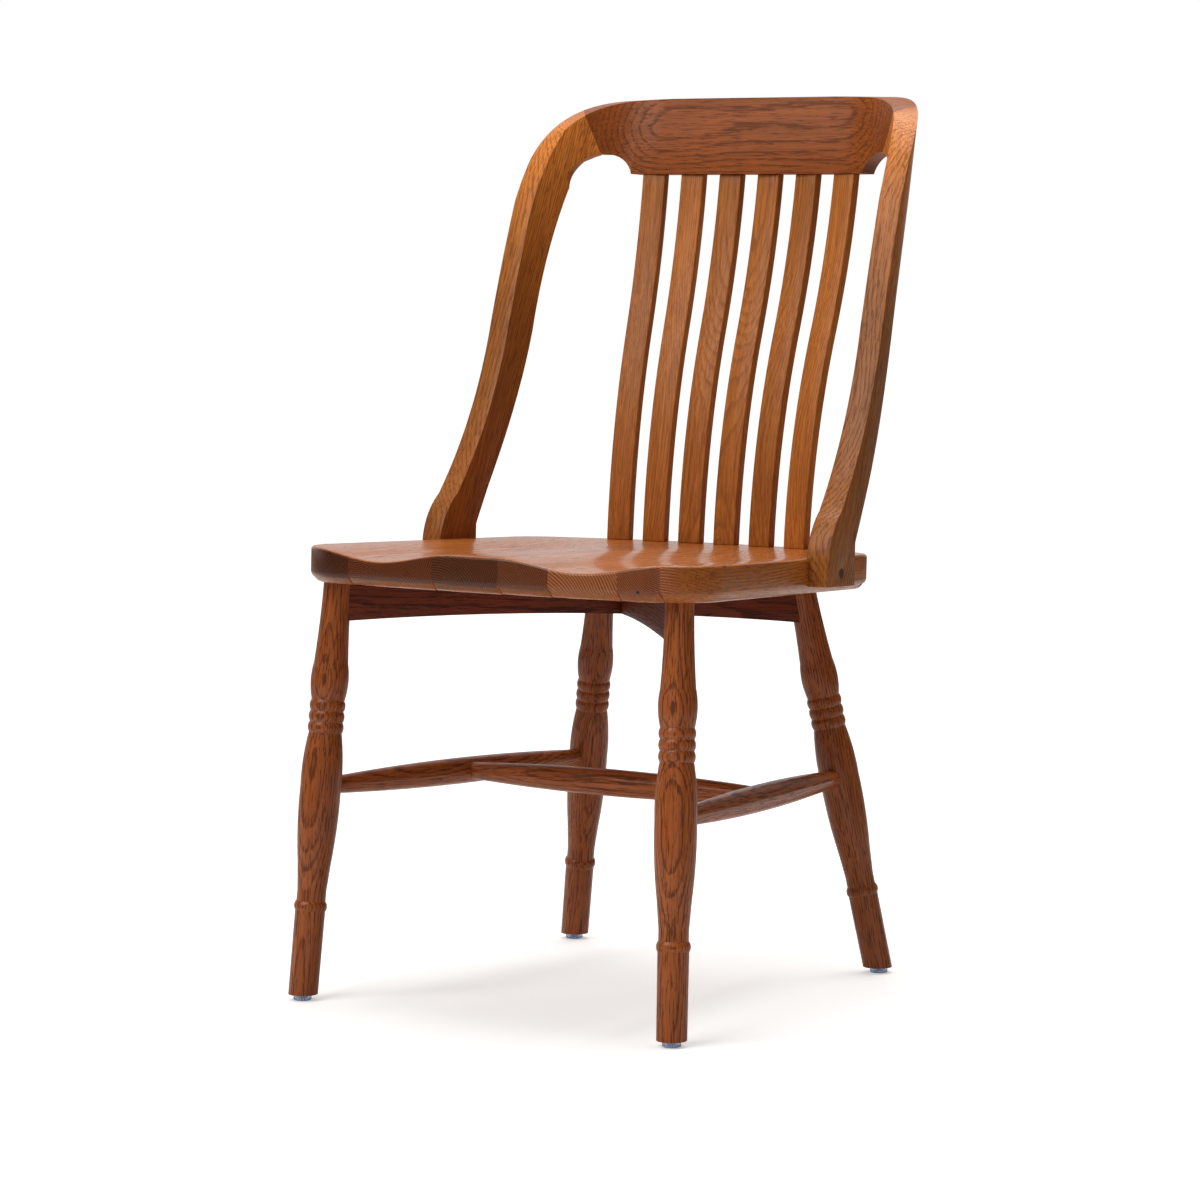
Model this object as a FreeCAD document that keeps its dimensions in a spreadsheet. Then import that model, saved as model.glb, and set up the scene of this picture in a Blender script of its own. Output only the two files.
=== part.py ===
import FreeCAD
import Part
import Sketcher
import math
import os
from FreeCAD import Placement, Rotation, Vector

# A wooden chair: saddle seat glued up from staves, four turned legs with an H of stretchers, two crossed
# braces under the seat, and a slatted back whose two posts curve over into the crest rail.
# World frame: X to the right as seen from the front, Y to the back, Z up, floor at Z = 0.

os.makedirs("parts", exist_ok=True)
doc = FreeCAD.newDocument("chair")
sheet = doc.addObject("Spreadsheet::Sheet", "Sizes")


class Measure:
    """A number together with the sheet formula that gives it."""

    def __init__(self, value, formula):
        self.value = value
        self.formula = formula

    def __add__(self, other):
        other = measure(other)
        return Measure(self.value + other.value, f"({self.formula} + {other.formula})")

    def __sub__(self, other):
        other = measure(other)
        return Measure(self.value - other.value, f"({self.formula} - {other.formula})")

    def __mul__(self, other):
        other = measure(other)
        return Measure(self.value * other.value, f"({self.formula} * {other.formula})")

    def __truediv__(self, other):
        other = measure(other)
        return Measure(self.value / other.value, f"({self.formula} / {other.formula})")

    def __radd__(self, other):
        return measure(other) + self

    def __rsub__(self, other):
        return measure(other) - self

    def __rmul__(self, other):
        return measure(other) * self

    def __neg__(self):
        return measure(0.0) - self


def measure(item):
    if isinstance(item, Measure):
        return item
    return Measure(float(item), f"({float(item)!r})")


def sine(angle):
    return Measure(math.sin(math.radians(angle.value)), f"sin({angle.formula})")


def cosine(angle):
    return Measure(math.cos(math.radians(angle.value)), f"cos({angle.formula})")


def tangent(angle):
    return sine(angle) / cosine(angle)


def root(item):
    return Measure(math.sqrt(item.value), f"sqrt({item.formula})")


rows = 0


def size(name, value):
    """Writes a driving dimension into the sheet and returns it as a measure."""
    global rows
    rows += 1
    sheet.set(f"A{rows}", name)
    sheet.set(f"B{rows}", str(value))
    sheet.setAlias(f"B{rows}", name)
    return Measure(float(value), f"Sizes.{name}")


# Seat. The seat frame lies on the seat's underside at the middle of the front edge: X across, Y back, Z up.
seat_height = size("seat_height", 450)
seat_tilt = size("seat_tilt", 2)
seat_thickness = size("seat_thickness", 35)
front_reach = size("front_reach", 274.6)
seat_front_half = size("seat_front_half", 234.9)
seat_front_bow = size("seat_front_bow", 17)
seat_side_length = size("seat_side_length", 389)
seat_rear_bow = size("seat_rear_bow", 53)
side_toe_in = size("side_toe_in", 3.7)
seat_front_radius = size("seat_front_radius", 68)
seat_rear_radius = size("seat_rear_radius", 50)
seat_lower_chamfer = size("seat_lower_chamfer", 8)
planing_allowance = size("planing_allowance", 1)
# Stave widths at the front edge, counted in from the left and from the right; the third stave takes the rest.
left_stave_widths = [
    size("stave_width_1", 83.4),
    size("stave_width_2", 103),
]
right_stave_widths = [
    size("stave_width_7", 37.9),
    size("stave_width_6", 40.5),
    size("stave_width_5", 73.5),
    size("stave_width_4", 55.5),
]

# Saddle: two hollows through the front edge that fade out towards the slats.
scoop_depth = size("scoop_depth", 10.5)
scoop_centre = size("scoop_centre", 116)
scoop_half_width = size("scoop_half_width", 88)
scoop_full_length = size("scoop_full_length", 250)
scoop_fade_length = size("scoop_fade_length", 150)

# Legs. The reference point of a leg is where its axis passes the seat's underside.
front_leg_inset = size("front_leg_inset", 54)
front_leg_margin = size("front_leg_margin", 37.6)
rear_leg_inset = size("rear_leg_inset", 416)
rear_leg_margin = size("rear_leg_margin", 115.2)
front_foot_flare = size("front_foot_flare", 16.8)
front_foot_splay = size("front_foot_splay", 38)
rear_foot_flare = size("rear_foot_flare", 66.6)
rear_foot_splay = size("rear_foot_splay", 51)
leg_socket_depth = size("leg_socket_depth", 20)
leg_top_diameter = size("leg_top_diameter", 27.8)
neck_diameter = size("neck_diameter", 29.5)
neck_drop = size("neck_drop", 43)
flare_diameter = size("flare_diameter", 33.8)
flare_drop = size("flare_drop", 80.5)
bulb_diameter = size("bulb_diameter", 36.9)
bulb_drop = size("bulb_drop", 104)
bead_diameter = size("bead_diameter", 35.4)
bead_groove_diameter = size("bead_groove_diameter", 32.6)
bead_drop = size("bead_drop", 117.4)
bead_pitch = size("bead_pitch", 10.8)
vase_diameter = size("vase_diameter", 40.2)
vase_drop = size("vase_drop", 203)
waist_diameter = size("waist_diameter", 33.3)
waist_drop = size("waist_drop", 278)
ankle_diameter = size("ankle_diameter", 28.8)
ankle_drop = size("ankle_drop", 306)
ring_diameter = size("ring_diameter", 32.7)
ring_width = size("ring_width", 10)
ring_drop = size("ring_drop", 321.5)
shank_diameter = size("shank_diameter", 30)
foot_diameter = size("foot_diameter", 28.8)
bead_count = 3

# Glides under the feet, each held by one nail.
glide_height = size("glide_height", 6)
glide_diameter = size("glide_diameter", 18)
glide_round = size("glide_round", 1.5)
nail_diameter = size("nail_diameter", 2.4)
nail_length = size("nail_length", 18)
nail_head_diameter = size("nail_head_diameter", 7)
nail_head_height = size("nail_head_height", 1.2)
nail_recess = size("nail_recess", 2.4)

# Stretchers.
side_stretcher_front = size("side_stretcher_front", 211)
side_stretcher_rear = size("side_stretcher_rear", 202)
side_stretcher_diameter = size("side_stretcher_diameter", 26.8)
side_stretcher_end = size("side_stretcher_end", 17)
side_stretcher_bury = size("side_stretcher_bury", 12)
cross_stretcher_share = size("cross_stretcher_share", 0.526)
cross_stretcher_diameter = size("cross_stretcher_diameter", 27.3)
cross_stretcher_end = size("cross_stretcher_end", 17.5)
cross_stretcher_bury = size("cross_stretcher_bury", 8)

# Crossed braces under the seat.
brace_thickness = size("brace_thickness", 19)
brace_end_depth = size("brace_end_depth", 39)
brace_middle_depth = size("brace_middle_depth", 30)
brace_notch_depth = size("brace_notch_depth", 15)
brace_screw_front = size("brace_screw_front", 160)
brace_screw_rear = size("brace_screw_rear", 105)
brace_screw_head_depth = size("brace_screw_head_depth", 24)

# Hoop: the posts and the crest rail are cut from one band that bends round at both upper corners.
band_thickness = size("band_thickness", 24)
post_housing = size("post_housing", 3)
hoop_lean = size("hoop_lean", 11.6)
bend_radius = size("bend_radius", 122)
bend_start = size("bend_start", 289)
crest_top = size("crest_top", 499)
crest_bottom = size("crest_bottom", 419)
corner_radius = size("corner_radius", 152)
corner_start = size("corner_start", 448)
corner_turn = size("corner_turn", 20)
corner_sweep = size("corner_sweep", 61.5)
arch_radius = size("arch_radius", 26.6)
arch_margin = size("arch_margin", 69.4)
arch_height = size("arch_height", 413)
mitre_margin = size("mitre_margin", 49.3)
mitre_back = size("mitre_back", 465.5)
mitre_height = size("mitre_height", 479.7)
mitre_turn = size("mitre_turn", 29.3)
mitre_tilt = size("mitre_tilt", 24)

# Side outline of a post. The foot is measured back from the seat's front corner and up from its underside, and
# every later point back and up from the end of the step before it.
post_foot_rise = size("post_foot_rise", 8)
post_foot_front = size("post_foot_front", 239.3)
post_foot_back = size("post_foot_back", 300)
post_toe_back = size("post_toe_back", 2)
post_toe_up = size("post_toe_up", 28)
post_instep_back = size("post_instep_back", 7.2)
post_instep_up = size("post_instep_up", 23)
post_knee_back = size("post_knee_back", 25.2)
post_knee_up = size("post_knee_up", 45)
post_shin_back = size("post_shin_back", 50.5)
post_shin_up = size("post_shin_up", 85)
post_waist_back = size("post_waist_back", 82.5)
post_waist_up = size("post_waist_up", 180)
post_chest_back = size("post_chest_back", 17)
post_chest_up = size("post_chest_up", 63)
post_neck_back = size("post_neck_back", 36.5)
post_neck_up = size("post_neck_up", 127)
post_nape_back = size("post_nape_back", 13.5)
post_nape_up = size("post_nape_up", 28)
post_chin_back = size("post_chin_back", 28.5)
post_chin_up = size("post_chin_up", 54)
post_head_lean = size("post_head_lean", 35)
post_heel_up = size("post_heel_up", 42)
post_calf_back = size("post_calf_back", 20)
post_calf_up = size("post_calf_up", 41)
post_ham_back = size("post_ham_back", 30)
post_ham_up = size("post_ham_up", 64.5)
post_thigh_back = size("post_thigh_back", 61.5)
post_thigh_up = size("post_thigh_up", 160)
post_hip_back = size("post_hip_back", 23.5)
post_hip_up = size("post_hip_up", 87)
post_shoulder_back = size("post_shoulder_back", 47)
post_shoulder_up = size("post_shoulder_up", 149)
post_armpit_back = size("post_armpit_back", 9)
post_armpit_up = size("post_armpit_up", 14.5)
post_under_back = size("post_under_back", 22.5)
post_under_up = size("post_under_up", 31)
post_crown_back = size("post_crown_back", 21)
post_crown_up = size("post_crown_up", 10)

# Fixings of the back.
plug_diameter = size("plug_diameter", 10)
plug_depth = size("plug_depth", 7)
plug_back = size("plug_back", 270)
plug_height = size("plug_height", 20.6)
dowel_diameter = size("dowel_diameter", 8)
dowel_length = size("dowel_length", 30)
dowel_spacing = size("dowel_spacing", 18)
dowel_drop = size("dowel_drop", 22)
dowel_inset = size("dowel_inset", 12)
screw_head_diameter = size("screw_head_diameter", 9)
screw_head_height = size("screw_head_height", 3.5)
screw_shank_diameter = size("screw_shank_diameter", 4.5)
screw_length = size("screw_length", 40)

# Slats: six alike, fanned on an arc, each with a thinner tenon at both ends.
slat_width = size("slat_width", 25.8)
slat_thickness = size("slat_thickness", 10.9)
slat_pitch = size("slat_pitch", 42.3)
slat_fan = size("slat_fan", 2.9)
slat_arc_radius = size("slat_arc_radius", 2000)
slat_foot_back = size("slat_foot_back", 425.8)
slat_tenon_length = size("slat_tenon_length", 14)
slat_tenon_thickness = size("slat_tenon_thickness", 6)
slat_tenon_width = size("slat_tenon_width", 20)
slat_low_rise = size("slat_low_rise", 105)
slat_low_reach = size("slat_low_reach", 9.8)
slat_middle_rise = size("slat_middle_rise", 225)
slat_middle_reach = size("slat_middle_reach", 37.5)
slat_high_rise = size("slat_high_rise", 305)
slat_high_reach = size("slat_high_reach", 57.5)
slat_top_reach = size("slat_top_reach", 70)
slat_count = 6

# Clearances.
socket_clearance = size("socket_clearance", 0.1)
notch_clearance = size("notch_clearance", 0.1)
doc.recompute()

front_leg_half = seat_front_half - front_leg_margin
rear_leg_half = seat_front_half - rear_leg_margin
LEFT, RIGHT = -1, 1
SIDES = {"left": LEFT, "right": RIGHT}
# Cutting blocks and sheets reach past the wood they work on by these lengths.
overrun = 30.0
block = 400.0
sheet_margin = 10.0
saddle_columns, saddle_lines = 61, 31


def vector(x, y, z):
    return Vector(measure(x).value, measure(y).value, measure(z).value)


# Frames.
seat_origin_height = seat_height - seat_thickness * cosine(seat_tilt)
SEAT = Placement(vector(0, -front_reach, seat_origin_height), Rotation(Vector(1, 0, 0), -seat_tilt.value))


def in_seat(x, y, z, rotation=Rotation()):
    return SEAT.multiply(Placement(vector(x, y, z), rotation))


def post_frame(side):
    """On the seat's side face at the front corner: X outwards on the right, Y back along the face."""
    turn = Rotation(Vector(0, 0, 1), side * side_toe_in.value)
    return in_seat(side * seat_front_half, seat_front_bow, 0, turn)


def aimed(start, end):
    """Placement at start whose Z axis points to end."""
    return Placement(start, Rotation(Vector(0, 0, 1), end.sub(start)))


# Building helpers.
def bind(item, name, value):
    value = measure(value)
    setattr(item, name, value.value)
    item.setExpression(name, value.formula)


def new_body(name, placement=Placement()):
    body = doc.addObject("PartDesign::Body", name)
    body.Placement = placement
    return body


def circle_through(a, b, c):
    circle = Part.Circle(Vector(*a, 0), Vector(*b, 0), Vector(*c, 0))
    return circle.Center, circle.Radius


def add_outline(body, name, role, start, steps):
    """Closed outline on an origin plane. A step is an end point, or a middle and an end point for an arc."""
    plane = next(item for item in body.Origin.OriginFeatures if item.Role == role)
    sketch = body.newObject("Sketcher::SketchObject", name)
    sketch.AttachmentSupport = [(plane, "")]
    sketch.MapMode = "FlatFace"
    corners = [tuple(measure(value) for value in start)]
    middles = []
    for step in steps:
        points = [tuple(measure(value) for value in point) for point in step]
        corners.append(points[-1])
        middles.append(points[0] if len(points) == 2 else None)
    middles.append(None)
    count = len(corners)
    ends = []
    for index in range(count):
        first = tuple(value.value for value in corners[index])
        last = tuple(value.value for value in corners[(index + 1) % count])
        if middles[index] is None:
            sketch.addGeometry(Part.LineSegment(Vector(*first, 0), Vector(*last, 0)))
            ends.append((1, 2))
            continue
        middle = tuple(value.value for value in middles[index])
        centre, radius = circle_through(first, middle, last)
        turn = (middle[0] - first[0]) * (last[1] - middle[1]) - (middle[1] - first[1]) * (last[0] - middle[0])
        begin, finish = (first, last) if turn > 0 else (last, first)
        angles = [math.atan2(point[1] - centre.y, point[0] - centre.x) for point in (begin, finish)]
        if angles[1] <= angles[0]:
            angles[1] += 2 * math.pi
        sketch.addGeometry(Part.ArcOfCircle(Part.Circle(centre, Vector(0, 0, 1), radius), *angles))
        ends.append((1, 2) if turn > 0 else (2, 1))

    def pin(geometry, end, point, label):
        for axis, kind in enumerate(("DistanceX", "DistanceY")):
            place = sketch.addConstraint(Sketcher.Constraint(kind, geometry, end, point[axis].value))
            sketch.renameConstraint(place, f"{label}_{'xy'[axis]}")
            sketch.setExpression(f"Constraints.{label}_{'xy'[axis]}", point[axis].formula)

    for index in range(count):
        after = (index + 1) % count
        sketch.addConstraint(Sketcher.Constraint("Coincident", index, ends[index][1], after, ends[after][0]))
        pin(index, ends[index][0], corners[index], f"corner{index}")
    for index in range(count):
        if middles[index] is None:
            continue
        point = Vector(*(value.value for value in middles[index]), 0)
        extra = sketch.addGeometry(Part.Point(point), True)
        sketch.addConstraint(Sketcher.Constraint("PointOnObject", extra, 1, index))
        pin(extra, 1, middles[index], f"middle{index}")
    doc.recompute()
    return sketch


def pad(body, sketch, length, reverse=False, both=False):
    feature = body.newObject("PartDesign::Pad", f"{sketch.Name}_pad")
    feature.Profile = sketch
    bind(feature, "Length", length)
    feature.Reversed = reverse
    feature.Midplane = both
    sketch.Visibility = False
    return feature


def revolve(body, sketch):
    feature = body.newObject("PartDesign::Revolution", f"{sketch.Name}_turned")
    feature.Profile = sketch
    feature.ReferenceAxis = (sketch, ["V_Axis"])
    feature.Angle = 360
    return feature


def box(name, width, depth, height, placement):
    item = doc.addObject("Part::Box", name)
    bind(item, "Length", width)
    bind(item, "Width", depth)
    bind(item, "Height", height)
    item.Placement = placement
    return item


def cylinder(name, radius, height, placement):
    item = doc.addObject("Part::Cylinder", name)
    bind(item, "Radius", radius)
    bind(item, "Height", height)
    item.Placement = placement
    return item


def joined(name, pieces):
    if len(pieces) == 1:
        return pieces[0]
    item = doc.addObject("Part::MultiFuse", name)
    item.Shapes = pieces
    return item


def shared(name, pieces):
    item = doc.addObject("Part::MultiCommon", name)
    item.Shapes = pieces
    return item


def cut(name, base, tools):
    item = doc.addObject("Part::Cut", name)
    item.Base = base
    item.Tool = joined(f"{name}_tools", tools)
    return item


def group(name, pieces):
    item = doc.addObject("Part::Compound", name)
    item.Links = pieces
    return item


# Legs.
def leg_outline(grow):
    """Half section of the turning: radius outwards, height above the reference point."""
    def at(diameter, drop):
        return (diameter / 2 + grow, -drop)

    top = (leg_top_diameter / 2 + grow, leg_socket_depth + grow)
    steps = [
        [top],
        [(top[0], measure(0))],
        [at(neck_diameter, neck_drop), at(flare_diameter, flare_drop)],
        [at(bulb_diameter, bulb_drop), at(bead_groove_diameter, bead_drop)],
    ]
    for bead in range(bead_count):
        start = bead_drop + bead_pitch * bead
        steps.append([at(bead_diameter, start + bead_pitch / 2), at(bead_groove_diameter, start + bead_pitch)])
    beads_end = bead_drop + bead_pitch * bead_count
    swell = (vase_diameter - bead_groove_diameter) / 4
    taper = (vase_diameter - waist_diameter) / 4
    ring_top = ring_drop - ring_width / 2
    ring_foot = ring_drop + ring_width / 2
    steps += [
        [at(vase_diameter - swell / 2, (beads_end + vase_drop) / 2), at(vase_diameter, vase_drop)],
        [at(vase_diameter - taper / 2, (vase_drop + waist_drop) / 2), at(waist_diameter, waist_drop)],
        [at(ankle_diameter, ankle_drop)],
        [at(ankle_diameter, ring_top)],
        [at(ring_diameter, ring_drop), at(shank_diameter, ring_foot)],
        [at(foot_diameter, seat_height)],
        [(measure(0), -seat_height)],
    ]
    return (measure(0), top[1]), steps


def leg_body(name, placement, grow):
    body = new_body(name, placement)
    start, steps = leg_outline(grow)
    revolve(body, add_outline(body, f"{name}_section", "XZ_Plane", start, steps))
    return body


def leg_axis(side, fore):
    """Reference point under the seat and foot point on the floor."""
    half, inset = (front_leg_half, front_leg_inset) if fore else (rear_leg_half, rear_leg_inset)
    flare, splay = (front_foot_flare, -front_foot_splay) if fore else (rear_foot_flare, rear_foot_splay)
    top = SEAT.multVec(vector(side * half, inset, 0))
    return top, Vector(side * (half + flare).value, top.y + splay.value, 0)


def along(line, height):
    """Point of a leg's axis at a height above the floor."""
    top, foot = line
    return foot + (top - foot) * (height.value / top.z)


corners = [(end, side) for end in ("front", "rear") for side in ("left", "right")]
axes = {(end, side): leg_axis(SIDES[side], end == "front") for end, side in corners}


def leg_place(line):
    top, foot = line
    return Placement(top, Rotation(Vector(0, 0, 1), top - foot))


leg_cutters = {
    corner: leg_body(f"leg_clearance_{corner[0]}_{corner[1]}", leg_place(axes[corner]), socket_clearance)
    for corner in corners
}


# Stretchers: a swelling turned rod whose plain ends are buried in their sockets.
def stretcher_body(name, start, end, bury_radius, middle, tip):
    length = Measure((end - start).Length, repr((end - start).Length))
    body = new_body(name, aimed(start, end))
    shoulder = bury_radius
    steps = [
        [(tip / 2, measure(0))],
        [(tip / 2, shoulder)],
        [(middle / 2, length / 2), (tip / 2, length - shoulder)],
        [(tip / 2, length)],
        [(measure(0), length)],
    ]
    revolve(body, add_outline(body, f"{name}_section", "XZ_Plane", (measure(0), measure(0)), steps))
    return body


def socket(name, start, end, tip):
    """Blind round socket that holds a rod's end at start and is open towards the rod."""
    away = (end - start).normalize()
    place = aimed(start - away * socket_clearance.value, end)
    return cylinder(name, tip / 2 + socket_clearance, vase_diameter, place)


def rod_ends(first, last, host_radius, bury):
    """Rod ends: each stops short of its host's axis by the host's radius less the buried length."""
    away = (last - first).normalize() * (host_radius - bury).value
    return first + away, last - away


side_rods = {}
for side in SIDES:
    ends = (along(axes["front", side], side_stretcher_front), along(axes["rear", side], side_stretcher_rear))
    side_rods[side] = (ends, rod_ends(*ends, vase_diameter / 2, side_stretcher_bury))

cross_points = [
    side_rods[side][0][0] + (side_rods[side][0][1] - side_rods[side][0][0]) * cross_stretcher_share.value
    for side in ("left", "right")
]
cross_rod = rod_ends(*cross_points, side_stretcher_diameter / 2, cross_stretcher_bury)

cross_stretcher = stretcher_body(
    "cross_stretcher", *cross_rod, cross_stretcher_bury, cross_stretcher_diameter, cross_stretcher_end
)
parts = [cross_stretcher]

leg_holes = {corner: [] for corner in corners}
for number, side in enumerate(SIDES):
    start, end = side_rods[side][1]
    rod = stretcher_body(
        f"side_rod_{side}", start, end, side_stretcher_bury, side_stretcher_diameter, side_stretcher_end
    )
    hole = socket(f"cross_socket_{side}", cross_rod[number], cross_rod[1 - number], cross_stretcher_end)
    parts.append(cut(f"side_stretcher_{side}", rod, [hole]))
    for place, (near, far) in (("front", (start, end)), ("rear", (end, start))):
        hole = socket(f"side_socket_{place}_{side}", near, far, side_stretcher_end)
        leg_holes[place, side].append(hole)


# Glides and their nails stand upright under each foot.
def nail_body(name, placement, grow):
    body = new_body(name, placement)
    head = nail_head_diameter / 2 + grow
    shank = nail_diameter / 2 + grow
    low = nail_recess - grow
    neck = nail_recess + nail_head_height + grow
    tip = nail_recess + nail_length + grow
    steps = [[(head, low)], [(head, neck)], [(shank, neck)], [(shank, tip)], [(measure(0), tip)]]
    revolve(body, add_outline(body, f"{name}_section", "XZ_Plane", (measure(0), low), steps))
    return body


nails = []
for corner in corners:
    end, side = corner
    foot = axes[corner][1]
    base = Placement(foot, Rotation())
    radius = glide_diameter / 2
    curve = glide_round * (1 - math.sqrt(0.5))
    body = new_body(f"glide_blank_{end}_{side}", base)
    steps = [
        [(radius - glide_round, measure(0))],
        [(radius - curve, curve), (radius, glide_round)],
        [(radius, glide_height)],
        [(measure(0), glide_height)],
    ]
    outline = add_outline(body, f"glide_section_{end}_{side}", "XZ_Plane", (measure(0), measure(0)), steps)
    revolve(body, outline)
    nails.append(nail_body(f"nail_{end}_{side}", base, measure(0)))
    nail_cutter = nail_body(f"nail_clearance_{end}_{side}", base, socket_clearance)
    recess = cylinder(
        f"nail_recess_{end}_{side}", nail_head_diameter / 2 + socket_clearance, nail_recess + glide_round,
        Placement(foot - Vector(0, 0, glide_round.value), Rotation())
    )
    parts.append(cut(f"glide_{end}_{side}", body, [nail_cutter, recess]))
    blank = leg_body(f"leg_blank_{end}_{side}", leg_place(axes[corner]), measure(0))
    floor_cut = box(
        f"foot_cut_{end}_{side}", vase_diameter * 2, vase_diameter * 2, vase_diameter * 2,
        Placement(foot - vector(vase_diameter, vase_diameter, vase_diameter * 2 - glide_height), Rotation())
    )
    parts.append(cut(f"leg_{end}_{side}", blank, [floor_cut, nail_cutter] + leg_holes[corner]))
parts.append(group("glide_nails", nails))


# Screws: a round head on a plain shank that runs up the local Z axis from the head's outer face.
def screw_body(name, placement, grow):
    body = new_body(name, placement)
    head = screw_head_diameter / 2 + grow
    shank = screw_shank_diameter / 2 + grow
    tip = screw_length + grow
    neck = screw_head_height + grow
    steps = [[(head, -grow)], [(head, neck)], [(shank, neck)], [(shank, tip)], [(measure(0), tip)]]
    revolve(body, add_outline(body, f"{name}_section", "XZ_Plane", (measure(0), -grow), steps))
    return body


# Braces: board a from front left to rear right, board b the other way, halved where they cross.
crossing = front_leg_inset + (rear_leg_inset - front_leg_inset) * front_leg_half / (
    front_leg_half + rear_leg_half
)
front_run = root(front_leg_half * front_leg_half + (crossing - front_leg_inset) * (crossing - front_leg_inset))
rear_run = front_run * rear_leg_half / front_leg_half


def brace_frame(hand):
    """At the crossing, X along the board towards the rear."""
    angle = math.degrees(math.atan2((crossing - front_leg_inset).value, hand * front_leg_half.value))
    return in_seat(0, crossing, 0, Rotation(Vector(0, 0, 1), angle))


brace_screws = []
screw_holes = []
for letter, hand in (("a", RIGHT), ("b", LEFT)):
    frame = brace_frame(hand)
    blank = new_body(f"brace_blank_{letter}", frame)
    middle = (rear_run - front_run) / 2
    steps = [
        [(-front_run, -brace_end_depth)],
        [(middle, -brace_middle_depth), (rear_run, -brace_end_depth)],
        [(rear_run, measure(0))],
    ]
    outline = add_outline(blank, f"brace_outline_{letter}", "XZ_Plane", (-front_run, measure(0)), steps)
    pad(blank, outline, brace_thickness, both=True)
    notch_width = brace_thickness + notch_clearance * 2
    notch_size = brace_thickness * 3
    notch_top = -brace_notch_depth if letter == "a" else overrun
    notch_foot = measure(-2 * overrun) if letter == "a" else -brace_notch_depth
    other = brace_frame(-hand)
    corner = Placement(vector(-notch_size / 2, -notch_width / 2, notch_foot), Rotation())
    notch = box(
        f"brace_notch_{letter}", notch_size, notch_width, notch_top - notch_foot, other.multiply(corner)
    )
    tools = [notch]
    for place, distance in (("front", -brace_screw_front), ("rear", brace_screw_rear)):
        spot = frame.multiply(Placement(vector(distance, 0, -brace_screw_head_depth), Rotation()))
        brace_screws.append(screw_body(f"brace_screw_{letter}_{place}", spot, measure(0)))
        hole = screw_body(f"brace_screw_clearance_{letter}_{place}", spot, socket_clearance)
        bore = cylinder(
            f"brace_screw_bore_{letter}_{place}", screw_head_diameter / 2 + socket_clearance, brace_end_depth,
            spot.multiply(Placement(vector(0, 0, -brace_end_depth), Rotation()))
        )
        tools += [hole, bore]
        screw_holes.append(hole)
    legs = (("front", "left"), ("rear", "right")) if letter == "a" else (("front", "right"), ("rear", "left"))
    tools += [leg_cutters[corner] for corner in legs]
    parts.append(cut(f"seat_brace_{letter}", blank, tools))
parts.append(group("brace_screws", brace_screws))


# Hoop band of one side: straight along the post, round the bend and on to the chair's middle.
def band_body(name, side):
    lean = Rotation(Vector(1, 0, 0), -hoop_lean.value)
    frame = post_frame(side).multiply(Placement(Vector(), lean))
    body = new_body(name, frame)
    turn = 90 - side_toe_in
    outer = band_thickness - post_housing
    centre = outer - bend_radius
    inner_radius = bend_radius - band_thickness

    def spot(radius, angle, past=measure(0)):
        across = centre + radius * cosine(angle) - past * sine(angle)
        back = bend_start + radius * sine(angle) + past * cosine(angle)
        return (side * across, back)

    steps = [
        [(side * outer, bend_start)],
        [spot(bend_radius, turn / 2), spot(bend_radius, turn)],
        [spot(bend_radius, turn, seat_front_half)],
        [spot(inner_radius, turn, seat_front_half)],
        [spot(inner_radius, turn)],
        [spot(inner_radius, turn / 2), (-side * post_housing, bend_start)],
        [(-side * post_housing, -bend_start)],
    ]
    outline = add_outline(body, f"{name}_plan", "XY_Plane", (side * outer, -bend_start), steps)
    pad(body, outline, crest_top + overrun * 5)
    return body


def walked(start, moves):
    """Steps of an outline from moves, each given from the end of the move before."""
    steps = []
    for move in moves:
        steps.append([(start[0] + back, start[1] + up) for back, up in move])
        start = steps[-1][-1]
    return steps


def post_side_body(name, side):
    """Side outline of a post, drawn back and up in the post frame."""
    body = new_body(name, post_frame(side))
    start = (post_foot_front, post_foot_rise)
    steps = walked(start, [
        [(post_toe_back, post_toe_up)],
        [(post_instep_back, post_instep_up), (post_knee_back, post_knee_up)],
        [(post_shin_back, post_shin_up), (post_waist_back, post_waist_up)],
        [(post_chest_back, post_chest_up), (post_neck_back, post_neck_up)],
        [(post_nape_back, post_nape_up), (post_chin_back, post_chin_up)],
    ])
    heel = (post_foot_back, post_foot_rise)
    rear = [[heel]] + walked(heel, [
        [(measure(0), post_heel_up)],
        [(post_calf_back, post_calf_up)],
        [(post_ham_back, post_ham_up), (post_thigh_back, post_thigh_up)],
        [(post_hip_back, post_hip_up), (post_shoulder_back, post_shoulder_up)],
        [(post_armpit_back, post_armpit_up), (post_under_back, post_under_up)],
        [(post_crown_back, post_crown_up)],
    ])
    chin = steps[-1][-1]
    crown = rear[-1][-1]
    top = crest_top + overrun
    head = chin[0] + (top - chin[1]) * tangent(post_head_lean)
    far = head + overrun * 3
    steps += [[(head, top)], [(far, top)], [(far, crown[1])], [crown]]
    for here, there in zip(reversed(rear), reversed(rear[:-1])):
        steps.append(here[:-1] + [there[-1]])
    outline = add_outline(body, f"{name}_outline", "YZ_Plane", start, steps)
    pad(body, outline, bend_radius * 2, both=True)
    return body


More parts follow.
